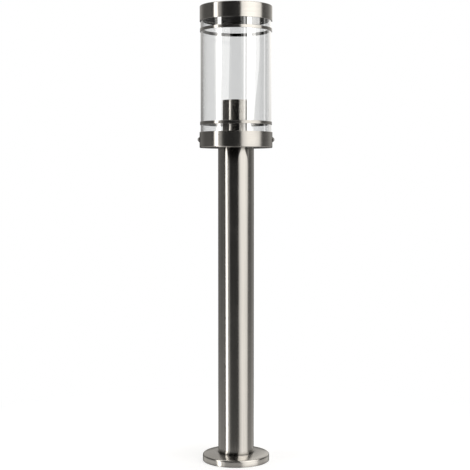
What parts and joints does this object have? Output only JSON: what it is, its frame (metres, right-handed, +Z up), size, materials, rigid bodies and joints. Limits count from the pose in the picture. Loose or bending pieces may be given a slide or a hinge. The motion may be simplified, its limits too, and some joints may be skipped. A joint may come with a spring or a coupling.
{
  "type": "bollard light",
  "caption": "Path light on a round steel post: covered flat foot, clear glass lantern under a flat steel cap, upright screw lampholder inside.",
  "frame": {"origin": "centre of the base plate's underside, on the ground", "axes": "+Z up along the post's axis; the two retaining screws lie along +X and -X; the clear view between them is along +Y"},
  "size_m": [0.1348, 0.128, 0.8],
  "materials": {
    "brushed_steel": "brushed",
    "dark_steel": "polished",
    "zinc_steel": "satin",
    "plated_steel": "satin",
    "black_rubber": "matte",
    "grey_silicone": "satin",
    "ivory_nylon": "satin",
    "white_ceramic": "gloss",
    "brass": "satin",
    "brown_insulation": "satin",
    "blue_insulation": "satin",
    "green_yellow_insulation": "satin",
    "clear_glass": "gloss"
  },
  "bodies": {
    "post": {"post_tube": "brushed_steel", "collar": "brushed_steel", "holder_sleeve": "brushed_steel", "screw_bushes": "brushed_steel", "base_plate": "zinc_steel", "foot_weld": "zinc_steel", "post_top_plate": "zinc_steel", "lamp_tray": "zinc_steel", "collar_screws": "plated_steel", "cord_clamp_screws": "plated_steel", "earth_stud": "plated_steel", "earth_nut": "plated_steel", "tray_standoffs": "plated_steel", "tray_screws": "plated_steel", "terminal_screws": "plated_steel", "block_screws": "plated_steel", "toothed_washer": "plated_steel", "holder_screws": "plated_steel", "contact_spring": "plated_steel", "cable_grommet": "black_rubber", "glass_gasket": "black_rubber", "cord_clamp": "ivory_nylon", "terminal_block": "ivory_nylon", "holder_base": "white_ceramic", "holder_body": "white_ceramic", "holder_mouth_ring": "white_ceramic", "earth_tag": "brass", "terminal_inserts": "brass", "holder_nipple": "brass", "nipple_nut": "brass", "screw_shell": "brass", "side_contact": "brass", "live_terminal": "brass", "live_wire": "brown_insulation", "neutral_wire": "blue_insulation", "earth_wire": "green_yellow_insulation"},
    "base_cover": {"base_cover": "brushed_steel", "cover_grip_ring": "black_rubber"},
    "lantern": {"glass_cylinder": "clear_glass", "lower_band": "brushed_steel", "upper_band": "brushed_steel", "cap_seal": "grey_silicone", "cap_inner_plate": "dark_steel", "cap_shell": "brushed_steel"},
    "left_pad": {"left_screw_pad": "black_rubber"},
    "left_screw": {"left_retaining_screw": "brushed_steel"},
    "right_pad": {"right_screw_pad": "black_rubber"},
    "right_screw": {"right_retaining_screw": "brushed_steel"},
    "contact": {"centre_contact": "brass"}
  },
  "joints": [
    {"name": "lantern_lift", "type": "slide", "parent": "post", "child": "lantern", "axis": [0, 0, 1], "range_m": [0, 0.12]},
    {"name": "cover_slide", "type": "slide", "parent": "post", "child": "base_cover", "axis": [0, 0, 1], "range_m": [0, 0.1]},
    {"name": "left_pad_travel", "type": "slide", "parent": "post", "child": "left_pad", "axis": [-1, 0, 0], "range_m": [0, 0.0021]},
    {"name": "left_screw_turn", "type": "hinge", "parent": "left_pad", "child": "left_screw", "pos_m": [-0.064, 0, 0.568], "axis": [-1, 0, 0], "range_deg": [0, 1080]},
    {"name": "right_pad_travel", "type": "slide", "parent": "post", "child": "right_pad", "axis": [1, 0, 0], "range_m": [0, 0.0021]},
    {"name": "right_screw_turn", "type": "hinge", "parent": "right_pad", "child": "right_screw", "pos_m": [0.064, 0, 0.568], "axis": [1, 0, 0], "range_deg": [0, 1080]},
    {"name": "contact_press", "type": "slide", "parent": "post", "child": "contact", "axis": [0, 0, -1], "range_m": [0, 0.0015], "stiffness_N_per_m": 1200, "deforming": ["contact_spring"]}
  ],
  "couplings": [
    {"joint": "left_screw_turn", "follows": "left_pad_travel", "rad_per_m": 8975.9},
    {"joint": "right_screw_turn", "follows": "right_pad_travel", "rad_per_m": 8975.9}
  ]
}
